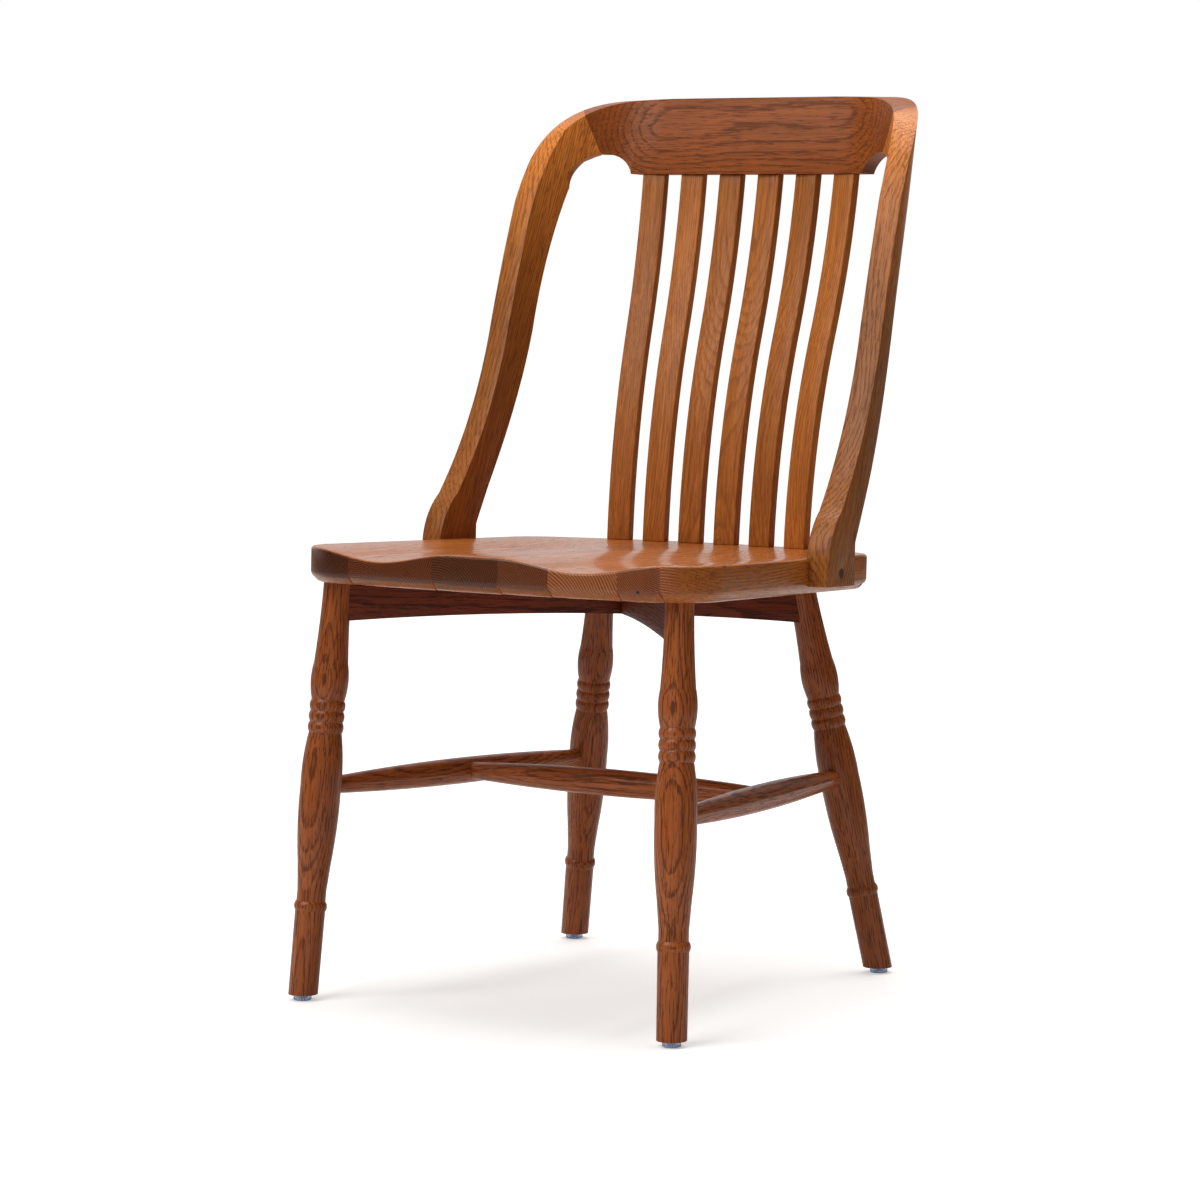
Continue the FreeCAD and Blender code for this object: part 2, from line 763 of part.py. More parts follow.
# Upper edge of the hoop on one side: level over the crest, rounding down into the post's front edge.
def corner_body(name, side):
    turn = Rotation(Vector(0, 0, 1), side * corner_turn.value)
    body = new_body(name, in_seat(0, 0, 0, turn))
    middle = corner_sweep / 2
    centre = crest_top - corner_radius

    def rim(angle):
        return (corner_start - corner_radius * sine(angle), centre + corner_radius * cosine(angle))

    end = rim(corner_sweep)
    low = end[0] - end[1] * tangent(90 - corner_sweep)
    far = corner_start * 2
    steps = [
        [end],
        [rim(middle), (corner_start, crest_top)],
        [(far, crest_top)],
        [(far, -overrun)],
        [(low, -overrun)],
    ]
    outline = add_outline(body, f"{name}_outline", "YZ_Plane", (low, measure(0)), steps)
    pad(body, outline, seat_front_half * 4, both=True)
    return body


def mitre_frame(side):
    """At the joint, X square to the mitre and towards the chair's middle."""
    turn = Rotation(Vector(0, 0, 1), -side * mitre_turn.value)
    tilt = Rotation(Vector(0, 1, 0), side * mitre_tilt.value)
    return in_seat(side * (seat_front_half - mitre_margin), mitre_back, mitre_height, turn.multiply(tilt))


plugs = []
post_screws = []
dowels = []
crest_halves = []
crest_tools = []
for side, sign in SIDES.items():
    band = band_body(f"band_{side}", sign)
    side_form = post_side_body(f"post_form_{side}", sign)
    corner_form = corner_body(f"corner_form_{side}", sign)
    arch = cylinder(
        f"arch_{side}", arch_radius, crest_top + overrun * 5,
        in_seat(sign * (seat_front_half - arch_margin), 0, arch_height, Rotation(Vector(1, 0, 0), -90))
    )
    mitre = mitre_frame(sign)
    inside = box(
        f"mitre_inside_{side}", block, block, block,
        mitre.multiply(Placement(Vector(-block if sign > 0 else 0, -block / 2, -block / 2), Rotation()))
    )
    outside = box(
        f"mitre_outside_{side}", block, block, block,
        mitre.multiply(Placement(Vector(0 if sign > 0 else -block, -block / 2, -block / 2), Rotation()))
    )
    frame = post_frame(sign)
    housing = box(
        f"housing_{side}", band_thickness, crest_top, seat_thickness + overrun,
        frame.multiply(Placement(vector(-band_thickness if sign > 0 else 0, 0, -overrun), Rotation()))
    )
    outer = band_thickness - post_housing
    inward = Rotation(Vector(0, 0, 1), Vector(-sign, 0, 0))
    plug_spot = frame.multiply(Placement(vector(sign * outer, plug_back, plug_height), inward))
    screw_spot = frame.multiply(
        Placement(vector(sign * (outer - plug_depth - socket_clearance), plug_back, plug_height), inward)
    )
    plug = cylinder(f"post_plug_{side}", plug_diameter / 2, plug_depth, plug_spot)
    plug_hole = cylinder(
        f"plug_hole_{side}", plug_diameter / 2 + socket_clearance / 2, plug_depth + screw_head_height, plug_spot
    )
    plugs.append(plug)
    post_screws.append(screw_body(f"post_screw_{side}", screw_spot, measure(0)))
    screw_hole = screw_body(f"post_screw_clearance_{side}", screw_spot, socket_clearance)
    screw_holes.append(screw_hole)
    dowel_tools = []
    for number, rise in enumerate((0, 1)):
        drop = dowel_drop + rise * dowel_spacing
        spot = mitre.multiply(
            Placement(vector(-dowel_length / 2, dowel_inset, -drop), Rotation(Vector(0, 0, 1), Vector(1, 0, 0)))
        )
        dowels.append(cylinder(f"dowel_{side}_{number}", dowel_diameter / 2, dowel_length, spot))
        hole_spot = spot.multiply(Placement(vector(0, 0, -socket_clearance), Rotation()))
        dowel_tools.append(cylinder(
            f"dowel_hole_{side}_{number}", dowel_diameter / 2 + socket_clearance,
            dowel_length + socket_clearance * 2, hole_spot
        ))
    blank = shared(f"post_blank_{side}", [band, side_form, corner_form])
    tools = [arch, inside, housing, plug_hole, screw_hole] + dowel_tools
    parts.append(cut(f"back_post_{side}", blank, tools))
    half_space = box(
        f"crest_half_{side}", block, block, crest_top,
        in_seat(0 if sign > 0 else -block, block / 2, crest_bottom)
    )
    crest_halves.append(shared(f"crest_blank_{side}", [band, half_space, corner_form]))
    crest_tools += [arch, outside] + dowel_tools
parts += plugs
parts.append(group("post_screws", post_screws))
parts.append(group("crest_dowels", dowels))


# Slats. A slat's own frame: Y back, Z up from its foot on the seat.
slat_rise = crest_bottom - seat_thickness


def slat_frame(number):
    offset = number - (slat_count - 1) / 2
    across = slat_pitch * offset
    back = slat_foot_back - across * across / (slat_arc_radius * 2)
    turn = Rotation(Vector(0, 0, 1), -slat_fan.value * offset)
    return in_seat(across, back, seat_thickness, turn)


def slat_body(name, placement):
    body = new_body(name, placement)

    def rear(rise, reach):
        return (reach + slat_thickness, rise)

    steps = [
        [(slat_low_reach, slat_low_rise), (slat_middle_reach, slat_middle_rise)],
        [(slat_high_reach, slat_high_rise), (slat_top_reach, slat_rise)],
        [rear(slat_rise, slat_top_reach)],
        [rear(slat_high_rise, slat_high_reach), rear(slat_middle_rise, slat_middle_reach)],
        [rear(slat_low_rise, slat_low_reach), rear(measure(0), measure(0))],
    ]
    outline = add_outline(body, f"{name}_outline", "YZ_Plane", (measure(0), measure(0)), steps)
    pad(body, outline, slat_width, both=True)
    return body


def tenon(name, placement, reach, rise, turn, grow):
    """Tenon block in the middle of the slat's thickness, rooted inside the slat."""
    wide = slat_tenon_width + grow * 2
    thick = slat_tenon_thickness + grow * 2
    tall = slat_tenon_length + slat_tenon_thickness + grow
    spot = placement.multiply(Placement(vector(0, reach + slat_thickness / 2, rise), turn))
    corner = Placement(vector(-wide / 2, -thick / 2, -slat_tenon_thickness), Rotation())
    return box(name, wide, thick, tall, spot.multiply(corner))


# The foot tenon points straight down, the top one leans back with the crest rail.
slat_ends = {
    "foot": (measure(0), measure(0), Rotation(Vector(1, 0, 0), 180)),
    "top": (slat_top_reach, slat_rise, Rotation(Vector(1, 0, 0), -hoop_lean.value)),
}
slat_mortises = {end: [] for end in slat_ends}
for number in range(slat_count):
    place = slat_frame(number)
    pieces = [slat_body(f"slat_blank_{number + 1}", place)]
    for end, (reach, rise, turn) in slat_ends.items():
        pieces.append(tenon(f"slat_tenon_{end}_{number + 1}", place, reach, rise, turn, measure(0)))
        hole = tenon(f"slat_mortise_{end}_{number + 1}", place, reach, rise, turn, socket_clearance)
        slat_mortises[end].append(hole)
    parts.append(joined(f"slat_{number + 1}", pieces))

crest_blank = joined("crest_blank", crest_halves)
parts.append(cut("crest_rail", crest_blank, crest_tools + slat_mortises["top"]))


# Seat blank: flat board with bowed front and rear edges, rounded corners and a bevelled lower edge.
blank = new_body("seat_blank", SEAT)
rear_half = seat_front_half - seat_side_length * tangent(side_toe_in)
rear_back = seat_front_bow + seat_side_length
outline = add_outline(
    blank, "seat_outline", "XY_Plane", (-seat_front_half, seat_front_bow),
    [
        [(measure(0), measure(0)), (seat_front_half, seat_front_bow)],
        [(rear_half, rear_back)],
        [(measure(0), rear_back + seat_rear_bow), (-rear_half, rear_back)],
    ],
)
board = pad(blank, outline, seat_thickness + planing_allowance)
doc.recompute()


def edges_where(feature, test):
    return [f"Edge{number + 1}" for number, edge in enumerate(feature.Shape.Edges) if test(edge)]


def upright(edge, near_front):
    low, high = (vertex.Point for vertex in (edge.Vertexes[0], edge.Vertexes[-1]))
    level = (high - low).cross(Vector(0, 0, 1)).Length
    return level < 0.01 and (high - low).Length > 1 and (low.y < rear_back.value / 2) == near_front


previous = board
for place, radius, near_front in (("front", seat_front_radius, True), ("rear", seat_rear_radius, False)):
    feature = blank.newObject("PartDesign::Fillet", f"seat_{place}_corners")
    feature.Base = (previous, edges_where(previous, lambda edge: upright(edge, near_front)))
    bind(feature, "Radius", radius)
    doc.recompute()
    previous = feature
chamfer = blank.newObject("PartDesign::Chamfer", "seat_lower_edge")
chamfer.Base = (previous, edges_where(previous, lambda edge: edge.BoundBox.ZMax < 0.01))
bind(chamfer, "Size", seat_lower_chamfer)
doc.recompute()


# Saddle surface: a smooth sheet whose poles follow the two hollows, swept upwards to make the cutter.
def hollow(x, y):
    aside = (abs(x) - scoop_centre.value) / scoop_half_width.value
    across = math.cos(math.pi / 2 * aside) ** 2 if abs(aside) < 1 else 0.0
    fade = min(max((y - scoop_full_length.value) / scoop_fade_length.value, 0.0), 1.0)
    return scoop_depth.value * across * (1 - fade * fade * (3 - 2 * fade))


def saddle_cutter():
    wide = seat_front_half.value + sheet_margin
    far = (rear_back + seat_rear_bow).value + sheet_margin
    poles = []
    for column in range(saddle_columns):
        x = -wide + 2 * wide * column / (saddle_columns - 1)
        line = []
        for step in range(saddle_lines):
            y = -sheet_margin + (far + sheet_margin) * step / (saddle_lines - 1)
            line.append(Vector(x, y, seat_thickness.value - hollow(x, y)))
        poles.append(line)
    surface = Part.BSplineSurface()
    knots = [list(range(count - 2)) for count in (saddle_columns, saddle_lines)]
    repeats = [[4] + [1] * (count - 4) + [4] for count in (saddle_columns, saddle_lines)]
    surface.buildFromPolesMultsKnots(poles, repeats[0], repeats[1], knots[0], knots[1], False, False, 3, 3)
    return surface.toShape().extrude(Vector(0, 0, seat_thickness.value))


saddle = doc.addObject("Part::Feature", "saddle_cutter")
saddle.Shape = saddle_cutter()
saddle.Placement = SEAT
carved = cut("seat_carved", blank, [saddle])
bored = cut("seat_bored", carved, list(leg_cutters.values()) + slat_mortises["foot"] + screw_holes)

# Staves run front to back and meet on their glue joints.
stave_edges = [-seat_front_half - overrun]
edge = -seat_front_half
for width in left_stave_widths:
    edge = edge + width
    stave_edges.append(edge)
right_edges = [seat_front_half + overrun]
edge = seat_front_half
for width in right_stave_widths:
    edge = edge - width
    right_edges.append(edge)
stave_edges += reversed(right_edges)
for number in range(len(stave_edges) - 1):
    left_edge, right_edge = stave_edges[number], stave_edges[number + 1]
    strip = box(
        f"stave_strip_{number + 1}", right_edge - left_edge, rear_back + seat_rear_bow + overrun * 2,
        seat_thickness * 2, in_seat(left_edge, -overrun, -seat_thickness / 2)
    )
    parts.append(shared(f"seat_stave_{number + 1}", [bored, strip]))

doc.recompute()

# Check and write.
for item in doc.Objects:
    for state in ("Invalid", "Error"):
        if state in item.State:
            raise RuntimeError(f"{item.Name} is in state {item.State}")
for item in parts:
    item.Label = item.Name
    if item.Shape.isNull() or not item.Shape.isValid():
        raise RuntimeError(f"{item.Name} has no valid shape")
for item in parts:
    item.Shape.exportStep(f"parts/{item.Label}.step")
    print(item.Label, len(item.Shape.Solids), round(item.Shape.Volume, 1))
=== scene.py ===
import math

import bmesh
import bpy
from mathutils import Matrix, Vector
from mathutils.kdtree import KDTree


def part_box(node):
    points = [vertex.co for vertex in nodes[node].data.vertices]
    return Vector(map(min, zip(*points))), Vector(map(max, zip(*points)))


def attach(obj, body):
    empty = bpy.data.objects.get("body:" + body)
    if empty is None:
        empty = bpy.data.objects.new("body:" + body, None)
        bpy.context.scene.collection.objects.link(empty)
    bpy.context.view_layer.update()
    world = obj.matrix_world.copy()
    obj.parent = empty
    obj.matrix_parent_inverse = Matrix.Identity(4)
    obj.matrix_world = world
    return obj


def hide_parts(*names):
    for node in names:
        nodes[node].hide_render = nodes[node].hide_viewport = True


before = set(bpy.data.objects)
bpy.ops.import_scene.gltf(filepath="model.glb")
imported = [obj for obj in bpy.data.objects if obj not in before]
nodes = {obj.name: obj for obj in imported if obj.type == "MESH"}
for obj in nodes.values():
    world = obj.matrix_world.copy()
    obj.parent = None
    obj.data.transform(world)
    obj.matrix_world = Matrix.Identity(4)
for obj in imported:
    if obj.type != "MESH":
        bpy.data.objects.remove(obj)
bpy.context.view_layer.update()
for name in ("Cube", "Light", "Camera"):
    if name in bpy.data.objects:
        bpy.data.objects.remove(bpy.data.objects[name])
scene = bpy.context.scene


# Seat frame: on the seat's underside at the middle of the front edge, leaning back by the seat's tilt.
SEAT_TILT = math.radians(2)
SEAT_THICKNESS = 0.035
SEAT = Matrix.Translation((0, -0.2746, 0.45 - SEAT_THICKNESS * math.cos(SEAT_TILT))) @ Matrix.Rotation(
    -SEAT_TILT, 4, "X"
)
LEFT, RIGHT = -1, 1


# Materials.
class Graph:
    """A material's node tree with short calls for its nodes."""

    def __init__(self, name):
        self.material = bpy.data.materials.new(name)
        self.material.use_nodes = True
        self.tree = self.material.node_tree
        self.tree.nodes.clear()

    def node(self, kind, inputs=(), **settings):
        made = self.tree.nodes.new(kind)
        for key, value in settings.items():
            setattr(made, key, value)
        for key, value in dict(inputs).items():
            self.feed(made.inputs[key], value)
        return made

    def feed(self, socket, value):
        if isinstance(value, bpy.types.NodeSocket):
            self.tree.links.new(value, socket)
        else:
            socket.default_value = value

    def math(self, operation, first, second=0.0, clamp=False):
        made = self.node("ShaderNodeMath", {0: first, 1: second}, operation=operation, use_clamp=clamp)
        return made.outputs[0]

    def vector(self, operation, first, second=(0.0, 0.0, 0.0)):
        made = self.node("ShaderNodeVectorMath", {0: first, 1: second}, operation=operation)
        return made.outputs["Value" if operation in ("DOT_PRODUCT", "LENGTH") else "Vector"]

    def noise(self, place, scale, detail=2.0, roughness=0.5, stretch=None):
        if stretch:
            place = self.vector("MULTIPLY", place, stretch)
        inputs = {"Vector": place, "Scale": scale, "Detail": detail, "Roughness": roughness}
        return self.node("ShaderNodeTexNoise", inputs)

    def fade(self, value, low, high, start=0.0, end=1.0):
        inputs = {0: value, 1: low, 2: high, 3: start, 4: end}
        return self.node("ShaderNodeMapRange", inputs, interpolation_type="SMOOTHSTEP").outputs[0]

    def ramp(self, factor, stops):
        made = self.node("ShaderNodeValToRGB", {0: factor})
        elements = made.color_ramp.elements
        while len(elements) < len(stops):
            elements.new(0.5)
        for element, (place, colour) in zip(elements, stops):
            element.position = place
            element.color = (*colour, 1.0)
        return made.outputs[0]

    def mix(self, factor, first, second, blend="MIX"):
        made = self.node("ShaderNodeMix", data_type="RGBA", blend_type=blend)
        self.feed(made.inputs[0], factor)
        for socket, value in ((made.inputs[6], first), (made.inputs[7], second)):
            self.feed(socket, value if isinstance(value, bpy.types.NodeSocket) else (*value, 1.0))
        return made.outputs[2]

    def surface(self, shader):
        output = self.node("ShaderNodeOutputMaterial")
        self.tree.links.new(shader.outputs[0], output.inputs["Surface"])


def scaled(colour, factor):
    return tuple(channel * factor for channel in colour)


def oak(name, centre, grain, facing, pith, tone, ring=0.0026, gloss=0.34, coat=0.2, bold=1.0, seed=0.0,
        end_tone=None, knots=(), bend=0.02, lift=None):
    """Lacquered oak, worked out in the board's own space: X along facing, Z along the grain.

    pith is where the tree's heart line crosses that space's XY plane; the growth rings run round it. lift
    holds two heights and the factors that the colour is multiplied by there. This is painted light: the
    colour is made lighter towards the top to stand in for the top light on the post tops, and darker below.
    holds two heights and the factors that the colour is multiplied by there."""
    graph = Graph(name)
    along = Vector(grain).normalized()
    across = Vector(facing)
    across = (across - along * across.dot(along)).normalized()
    basis = Matrix((across, along.cross(across), along)).transposed()
    place = graph.node("ShaderNodeTexCoord").outputs["Object"]
    board = graph.node(
        "ShaderNodeMapping",
        {"Vector": place, "Location": Vector(centre), "Rotation": basis.to_euler()},
        vector_type="TEXTURE",
    ).outputs[0]
    shifted = graph.vector("ADD", board, (seed * 1.7, seed * 2.3, seed * 3.1))

    # Growth rings, bent by a slow wander and a faster wobble.
    wander = graph.noise(shifted, 9.0, 1.0, stretch=(1.0, 1.0, 0.45)).outputs["Color"]
    wander = graph.vector("MULTIPLY", graph.vector("SUBTRACT", wander, (0.5, 0.5, 0.5)), (bend, bend, 0.0))
    wobble = graph.noise(shifted, 70.0, 2.0, stretch=(1.0, 1.0, 0.16)).outputs["Color"]
    wobble = graph.vector("SUBTRACT", wobble, (0.5, 0.5, 0.5))
    wobble = graph.vector("MULTIPLY", wobble, (0.0026, 0.0026, 0.0))
    bent = graph.vector("ADD", graph.vector("ADD", board, wander), wobble)
    round_pith = graph.vector("SUBTRACT", bent, (*pith, 0.0))
    flat = graph.vector("MULTIPLY", round_pith, (1.0, 1.0, 0.0))
    rings = graph.math("DIVIDE", graph.vector("LENGTH", flat), ring)
    year = graph.math("FRACT", rings)
    early = graph.math("MULTIPLY", graph.fade(year, 0.0, 0.09), graph.fade(year, 0.5, 0.12))

    # Open pores: dashes along the grain, thickest in the spring wood.
    dashes = graph.noise(shifted, 760.0, 2.0, 0.6, stretch=(1.0, 1.0, 0.06)).outputs["Fac"]
    streaks = graph.noise(shifted, 300.0, 3.0, 0.6, stretch=(1.0, 1.0, 0.025)).outputs["Fac"]
    fibres = graph.noise(shifted, 1500.0, 2.0, 0.6, stretch=(1.0, 1.0, 0.02)).outputs["Fac"]
    opening = graph.math("MULTIPLY_ADD", early, 0.14)
    opening.node.inputs[2].default_value = -0.02
    pores = graph.fade(graph.math("ADD", dashes, opening), 0.53, 0.62)

    # Board colour: patches, ring tone and fibres.
    patches = graph.noise(shifted, 16.0, 3.0, 0.55, stretch=(1.0, 1.0, 0.16)).outputs["Fac"]
    light = scaled(tone, 1.32)
    dark = (tone[0] * 0.66, tone[1] * 0.56, tone[2] * 0.46)
    ground = graph.mix(graph.fade(patches, 0.3, 0.72), scaled(tone, 0.84), scaled(tone, 1.16))
    late = graph.fade(year, 0.35, 0.98)
    ground = graph.mix(graph.math("MULTIPLY", late, 0.34), ground, light)
    ground = graph.mix(graph.math("MULTIPLY", early, 0.3 * bold), ground, dark)
    ground = graph.mix(graph.fade(streaks, 0.42, 0.66, 0.0, 0.5), ground, dark)
    ground = graph.mix(graph.fade(streaks, 0.5, 0.3, 0.0, 0.4), ground, light)
    ground = graph.mix(graph.fade(fibres, 0.42, 0.72, 0.0, 0.3), ground, dark)
    ground = graph.mix(graph.math("MULTIPLY", pores, min(0.8 * bold, 0.85)), ground, scaled(dark, 0.42))

    # End grain takes the finish darker, with pale hair-thin rings.
    normal = graph.node("ShaderNodeNewGeometry").outputs["Normal"]
    endness = graph.math("ABSOLUTE", graph.vector("DOT_PRODUCT", normal, tuple(along)))
    endness = graph.fade(endness, 0.55, 0.9)
    end = end_tone or (tone[0] * 0.42, tone[1] * 0.34, tone[2] * 0.32)
    hair = graph.math("MULTIPLY", graph.fade(year, 0.0, 0.16), graph.fade(year, 0.46, 0.2))
    specks = graph.noise(shifted, 900.0, 1.0).outputs["Fac"]
    end_colour = graph.mix(graph.fade(specks, 0.35, 0.7), scaled(end, 0.8), scaled(end, 1.2))
    pale_end = (end[0] * 3.0, end[1] * 3.6, end[2] * 3.4)
    end_colour = graph.mix(graph.math("MULTIPLY", hair, 0.75), end_colour, pale_end)
    colour = graph.mix(endness, ground, end_colour)
    # Painted light: the colour is scaled by height, lighter towards the top to stand in for the top light
    # there, darker below.
    if lift:
        top_light_height = graph.node("ShaderNodeSeparateXYZ", {0: place}).outputs["Z"]
        factor = graph.fade(top_light_height, *lift)
        scale = graph.node("ShaderNodeVectorMath", {0: colour, "Scale": factor}, operation="SCALE")
        colour = scale.outputs[0]
    for spot, radius in knots:
        distance = graph.vector("LENGTH", graph.vector("SUBTRACT", place, spot))
        colour = graph.mix(graph.fade(distance, radius, radius * 0.5), colour, (0.012, 0.005, 0.003))

    rough = graph.fade(patches, 0.2, 0.8, gloss - 0.03, gloss + 0.05)
    rough = graph.math("ADD", graph.math("MULTIPLY", pores, 0.16), rough)
    relief = graph.math("ADD", graph.math("MULTIPLY", pores, -1.0), graph.math("MULTIPLY", fibres, 0.35))
    bump = graph.node("ShaderNodeBump", {"Strength": 0.22, "Distance": 0.0002, "Height": relief})
    graph.surface(graph.node("ShaderNodeBsdfPrincipled", {
        "Base Color": colour, "Roughness": rough, "IOR": 1.5, "Specular IOR Level": 0.22,
        "Coat Weight": coat, "Coat Roughness": 0.16, "Coat IOR": 1.45, "Normal": bump.outputs[0],
    }))
    return graph.material


def clear_plastic(name):
    graph = Graph(name)
    place = graph.node("ShaderNodeTexCoord").outputs["Object"]
    scuffs = graph.noise(place, 900.0, 3.0).outputs["Fac"]
    colour = graph.mix(graph.fade(scuffs, 0.35, 0.7), (0.5, 0.66, 0.95), (0.7, 0.82, 1.0))
    bump = graph.node("ShaderNodeBump", {"Strength": 0.15, "Distance": 0.0002, "Height": scuffs})
    graph.surface(graph.node("ShaderNodeBsdfPrincipled", {
        "Base Color": colour, "Roughness": graph.fade(scuffs, 0.3, 0.7, 0.12, 0.3), "IOR": 1.49,
        "Transmission Weight": 0.6, "Normal": bump.outputs[0],
    }))
    return graph.material


def zinc(name):
    graph = Graph(name)
    place = graph.node("ShaderNodeTexCoord").outputs["Object"]
    spangle = graph.noise(place, 1200.0, 2.0).outputs["Fac"]
    colour = graph.mix(graph.fade(spangle, 0.35, 0.7), (0.42, 0.42, 0.43), (0.62, 0.62, 0.6))
    graph.surface(graph.node("ShaderNodeBsdfPrincipled", {
        "Base Color": colour, "Metallic": 1.0, "Roughness": graph.fade(spangle, 0.3, 0.7, 0.3, 0.5),
    }))
    return graph.material


# Where each wooden piece's grain runs and how its board was sawn.
def middle(node):
    low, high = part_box(node)
    return (low + high) / 2


def dress(piece, material):
    piece.data.materials.clear()
    piece.data.materials.append(material)


SEAT_TONE = (0.44, 0.130, 0.022)
BACK_TONE = (0.49, 0.160, 0.027)
CREST_TONE = (0.285, 0.070, 0.008)
LEG_TONE = (0.39, 0.103, 0.023)
BRACE_TONE = (0.16, 0.026, 0.006)
front = SEAT.to_3x3() @ Vector((0, -1, 0))
up = SEAT.to_3x3() @ Vector((0, 0, 1))
right = Vector((1, 0, 0))

stave_looks = [
    ((0.10, -0.06), 0.92, 0.0024, (0.050, 0.011, 0.003)),
    ((-0.045, -0.055), 1.0, 0.0023, (0.085, 0.019, 0.005)),
    ((-0.035, 0.030), 0.9, 0.0022, (0.062, 0.015, 0.004)),
    ((-0.060, 0.045), 1.02, 0.0021, (0.100, 0.026, 0.008)),
    ((-0.075, 0.060), 1.08, 0.0026, (0.220, 0.065, 0.022)),
    ((0.030, -0.045), 0.95, 0.0019, (0.160, 0.040, 0.013)),
    ((-0.020, 0.040), 0.98, 0.0027, (0.260, 0.066, 0.019)),
]
looks = {}
for number, (pith, lift, ring, end_tone) in enumerate(stave_looks):
    node = f"seat_stave_{number + 1}"
    knots = [((0.178, -0.2745 + 0.0105, 0.4243), 0.0022)] if number == 5 else ()
    looks[node] = oak(
        f"oak_{node}", middle(node), -front, right, pith, scaled(SEAT_TONE, lift), ring, 0.26, 0.35, 0.6,
        number * 1.3, end_tone, knots
    )

feet = {
    ("front", LEFT): ((-0.2141, -0.2586), (-0.1973, -0.2206)),
    ("front", RIGHT): ((0.2141, -0.2586), (0.1973, -0.2206)),
    ("rear", LEFT): ((-0.1863, 0.1921), (-0.1197, 0.1411)),
    ("rear", RIGHT): ((0.1863, 0.1921), (0.1197, 0.1411)),
}
leg_looks = {
    ("front", LEFT): ((0.75, -0.66, 0), (-0.05, 0.035), 0.96),
    ("front", RIGHT): ((0.5, -0.86, 0), (-0.038, 0.004), 1.0),
    ("rear", LEFT): ((0.5, -0.86, 0), (0.05, 0.02), 0.92),
    ("rear", RIGHT): ((0.9, -0.4, 0), (-0.03, -0.045), 0.9),
}
side_names = {LEFT: "left", RIGHT: "right"}
for number, ((end, side), (foot, top)) in enumerate(feet.items()):
    node = f"leg_{end}_{side_names[side]}"
    direction = Vector((*top, 0.415)) - Vector((*foot, 0.0))
    facing, pith, lift = leg_looks[end, side]
    looks[node] = oak(
        f"oak_{node}", middle(node), direction, facing, pith, scaled(LEG_TONE, lift), 0.0023, 0.33, 0.22,
        1.1, 7.0 + number
    )
for number, side in enumerate((LEFT, RIGHT)):
    node = f"side_stretcher_{side_names[side]}"
    direction = Vector((-0.14 * side, 0.9, -0.02))
    looks[node] = oak(
        f"oak_{node}", middle(node), direction, (1, 0, 0.5), (-0.035, 0.02), scaled(LEG_TONE, 0.98), 0.0024,
        0.34, 0.35, 1.0, 12.0 + number
    )
    node = f"back_post_{side_names[side]}"
    direction = Vector((-0.02 * side, 0.36, 0.93))
    # Painted light: the posts' colour is made lighter towards their tops (lift) to stand in for the top
    # light there, and darker lower down.
    looks[node] = oak(
        f"oak_{node}", middle(node), direction, (0, -1, 0), (-0.055, -0.03 * side), scaled(BACK_TONE, 0.86),
        0.0026, 0.38, 0.1, 0.75, 15.0 + number, lift=(0.64, 0.86, 0.84, 1.5)
    )
looks["cross_stretcher"] = oak(
    "oak_cross_stretcher", middle("cross_stretcher"), right, (0, -1, 0), (-0.03, 0.012), LEG_TONE,
    0.0026, 0.34, 0.35, 1.0, 18.0
)
for number, (letter, hand) in enumerate((("a", RIGHT), ("b", LEFT))):
    node = f"seat_brace_{letter}"
    low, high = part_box(node)
    direction = Vector((hand * (high.x - low.x), high.y - low.y, -0.01))
    looks[node] = oak(
        f"oak_{node}", middle(node), direction, (-hand, -1, 0), (-0.05, -0.03), BRACE_TONE, 0.0026, 0.42,
        0.0, 1.0, 20.0 + number
    )
looks["crest_rail"] = oak(
    "oak_crest_rail", middle("crest_rail"), right, (0, -1, 0), (-0.09, 0.004), CREST_TONE, 0.0034, 0.4, 0.04,
    0.8, 23.0, bend=0.014
)
slat_lifts = (0.86, 1.02, 0.9, 0.94, 0.88, 1.1)
for number, lift in enumerate(slat_lifts):
    node = f"slat_{number + 1}"
    looks[node] = oak(
        f"oak_{node}", middle(node), (0, 0.17, 0.98), (0, -1, 0),
        (-0.03 - 0.004 * number, 0.05 - 0.018 * number), scaled(BACK_TONE, lift), 0.0019, 0.38, 0.06, 0.45,
        25.0 + number, bend=0.008
    )
for side in side_names.values():
    looks[f"post_plug_{side}"] = oak(
        f"oak_post_plug_{side}", middle(f"post_plug_{side}"), right, up, (0.004, 0.003),
        scaled(BRACE_TONE, 0.7), 0.0012, 0.35, 0.3, 1.0, 33.0
    )
looks["crest_dowels"] = oak(
    "beech_crest_dowels", middle("crest_dowels"), right, up, (0.05, 0.0), (0.66, 0.44, 0.28), 0.002, 0.5,
    0.0, 0.4, 35.0
)
plastic = clear_plastic("clear_plastic")
steel = zinc("zinc_steel")
for end in ("front", "rear"):
    for side in side_names.values():
        looks[f"glide_{end}_{side}"] = plastic
for node in ("glide_nails", "post_screws", "brace_screws"):
    looks[node] = steel


# Pieces with eased edges stand for their plain nodes.
FLAT, SHARP = math.radians(0.4), math.radians(32)


